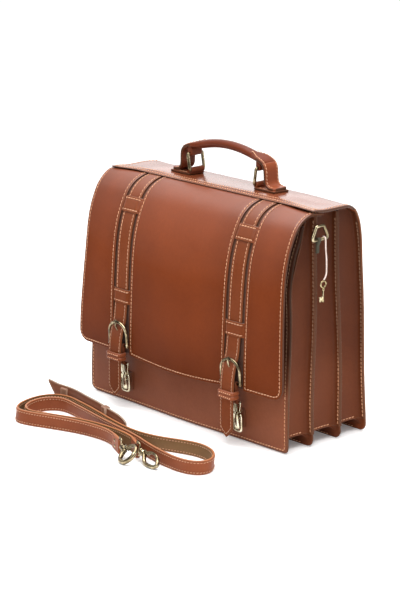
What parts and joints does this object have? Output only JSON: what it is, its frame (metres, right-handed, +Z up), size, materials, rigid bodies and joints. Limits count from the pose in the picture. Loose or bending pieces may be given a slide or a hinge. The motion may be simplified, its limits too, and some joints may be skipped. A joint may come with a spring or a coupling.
{
  "type": "flap-over leather satchel briefcase",
  "caption": "Leather satchel briefcase with a flap, buckled closing straps, stitched gussets, an arched handle, side rings, and a removable shoulder strap lying on the floor.",
  "frame": {"origin": "middle of the bag's footprint on the floor", "axes": "+X to the bag's right as seen from its front, +Y to its back, +Z up"},
  "size_m": [0.4144, 0.3251, 0.3773],
  "materials": {
    "leather": "smooth chestnut, lightly waxed",
    "leather_lit": "smooth cognac, stitched edges",
    "lining": "dark flesh side",
    "brass": "antique, rubbed edges",
    "cord": "thin twisted cord"
  },
  "bodies": {
    "bag": {"front_panel": "leather", "divider_1": "leather", "divider_2": "leather", "back_panel": "leather", "gusset_left_1": "leather", "gusset_left_2": "leather", "gusset_left_3": "leather", "gusset_right_1": "leather", "gusset_right_2": "leather", "gusset_right_3": "leather", "gusset_bottom_1": "leather", "gusset_bottom_2": "leather", "gusset_bottom_3": "leather", "ring_tab_left": "leather_lit", "ring_tab_right": "leather_lit", "catch_left": "brass", "catch_right": "brass"},
    "lid": {"top_panel": "leather_lit", "handle_grip": "leather_lit", "handle_foot_left": "leather_lit", "handle_foot_right": "leather_lit", "handle_loop_left": "brass", "handle_loop_right": "brass"},
    "flap": {"flap_lining": "lining", "flap_left": "leather", "flap_centre": "leather", "flap_right": "leather", "keeper_left_high": "leather_lit", "keeper_left_low": "leather_lit", "keeper_right_high": "leather_lit", "keeper_right_low": "leather_lit", "strap_left": "leather_lit", "strap_right": "leather_lit"},
    "left_tail": {"tail_left": "leather_lit", "buckle_left": "brass", "chape_left": "leather", "loop_left": "leather_lit"},
    "right_tail": {"tail_right": "leather_lit", "buckle_right": "brass", "chape_right": "leather", "loop_right": "leather_lit"},
    "left_prong": {"prong_left": "brass"},
    "right_prong": {"prong_right": "brass"},
    "left_clip": {"clip_left": "brass"},
    "right_clip": {"clip_right": "brass"},
    "left_lever": {"lever_left": "brass"},
    "right_lever": {"lever_right": "brass"},
    "left_ring": {"ring_left": "brass"},
    "right_ring": {"ring_right": "brass"},
    "key": {"key_cord": "cord", "key": "brass"},
    "shoulder_strap": {"belt": "leather_lit", "belt_pad": "leather_lit", "hook_eye_1": "brass", "hook_eye_2": "brass"},
    "hook_1": {"hook_1": "brass"},
    "hook_2": {"hook_2": "brass"},
    "hook_1_gate": {"hook_gate_1": "brass"},
    "hook_2_gate": {"hook_gate_2": "brass"}
  },
  "joints": [
    {"name": "lid_hinge", "type": "hinge", "parent": "bag", "child": "lid", "pos_m": [0, 0.064, 0.3134], "axis": [-1, 0, 0], "range_deg": [0, 110]},
    {"name": "flap_hinge", "type": "hinge", "parent": "lid", "child": "flap", "pos_m": [0, -0.015, 0.3195], "axis": [-1, 0, 0], "range_deg": [0, 120]},
    {"name": "left_tail_hinge", "type": "hinge", "parent": "flap", "child": "left_tail", "pos_m": [-0.115, -0.072, 0.146], "axis": [-1, 0, 0], "range_deg": [0, 80]},
    {"name": "left_prong_hinge", "type": "hinge", "parent": "left_tail", "child": "left_prong", "pos_m": [-0.115, -0.0784, 0.085], "axis": [1, 0, 0], "range_deg": [0, 6]},
    {"name": "left_clip_hinge", "type": "hinge", "parent": "left_tail", "child": "left_clip", "pos_m": [-0.115, -0.0715, 0.057], "axis": [-1, 0, 0], "range_deg": [0, 8]},
    {"name": "left_lever_hinge", "type": "hinge", "parent": "left_clip", "child": "left_lever", "pos_m": [-0.115, -0.07082, 0.04402], "axis": [-1, 0, 0], "range_deg": [0, 12], "stiffness_Nm_per_rad": 0.02, "springref_deg": -5.73},
    {"name": "right_tail_hinge", "type": "hinge", "parent": "flap", "child": "right_tail", "pos_m": [0.115, -0.072, 0.146], "axis": [-1, 0, 0], "range_deg": [0, 80]},
    {"name": "right_prong_hinge", "type": "hinge", "parent": "right_tail", "child": "right_prong", "pos_m": [0.115, -0.0784, 0.085], "axis": [1, 0, 0], "range_deg": [0, 6]},
    {"name": "right_clip_hinge", "type": "hinge", "parent": "right_tail", "child": "right_clip", "pos_m": [0.115, -0.0715, 0.057], "axis": [-1, 0, 0], "range_deg": [0, 8]},
    {"name": "right_lever_hinge", "type": "hinge", "parent": "right_clip", "child": "right_lever", "pos_m": [0.115, -0.07082, 0.04402], "axis": [-1, 0, 0], "range_deg": [0, 12], "stiffness_Nm_per_rad": 0.02, "springref_deg": -5.73},
    {"name": "left_ring_hinge", "type": "hinge", "parent": "bag", "child": "left_ring", "pos_m": [-0.2026, -0.0015, 0.28], "axis": [0, -1, 0], "range_deg": [0, 150]},
    {"name": "right_ring_hinge", "type": "hinge", "parent": "bag", "child": "right_ring", "pos_m": [0.2026, -0.0015, 0.28], "axis": [0, 1, 0], "range_deg": [0, 150]},
    {"name": "key_swing", "type": "hinge", "parent": "bag", "child": "key", "pos_m": [0.2026, 0.006, 0.28], "axis": [0, -1, 0], "range_deg": [0, 100]},
    {"name": "shoulder_strap_lift", "type": "slide", "parent": "bag", "child": "shoulder_strap", "axis": [0, 0, 1], "range_m": [0, 0.25]},
    {"name": "hook_1_swivel", "type": "hinge", "parent": "shoulder_strap", "child": "hook_1", "pos_m": [0.05495, -0.21537, 0.01297], "axis": [0.9123, -0.4062, -0.0523], "continuous": true},
    {"name": "hook_1_gate_hinge", "type": "hinge", "parent": "hook_1", "child": "hook_1_gate", "pos_m": [0.06839, -0.21794, 0.01509], "axis": [0.2366, 0.6271, -0.7421], "range_deg": [0, 20], "stiffness_Nm_per_rad": 0.02, "springref_deg": -5.73},
    {"name": "hook_2_swivel", "type": "hinge", "parent": "shoulder_strap", "child": "hook_2", "pos_m": [0.08353, -0.20788, 0.01233], "axis": [0.9609, -0.2396, -0.1392], "continuous": true},
    {"name": "hook_2_gate_hinge", "type": "hinge", "parent": "hook_2", "child": "hook_2_gate", "pos_m": [0.09734, -0.20893, 0.0132], "axis": [0.0985, 0.7649, -0.6365], "range_deg": [0, 16], "stiffness_Nm_per_rad": 0.02, "springref_deg": -5.73}
  ]
}
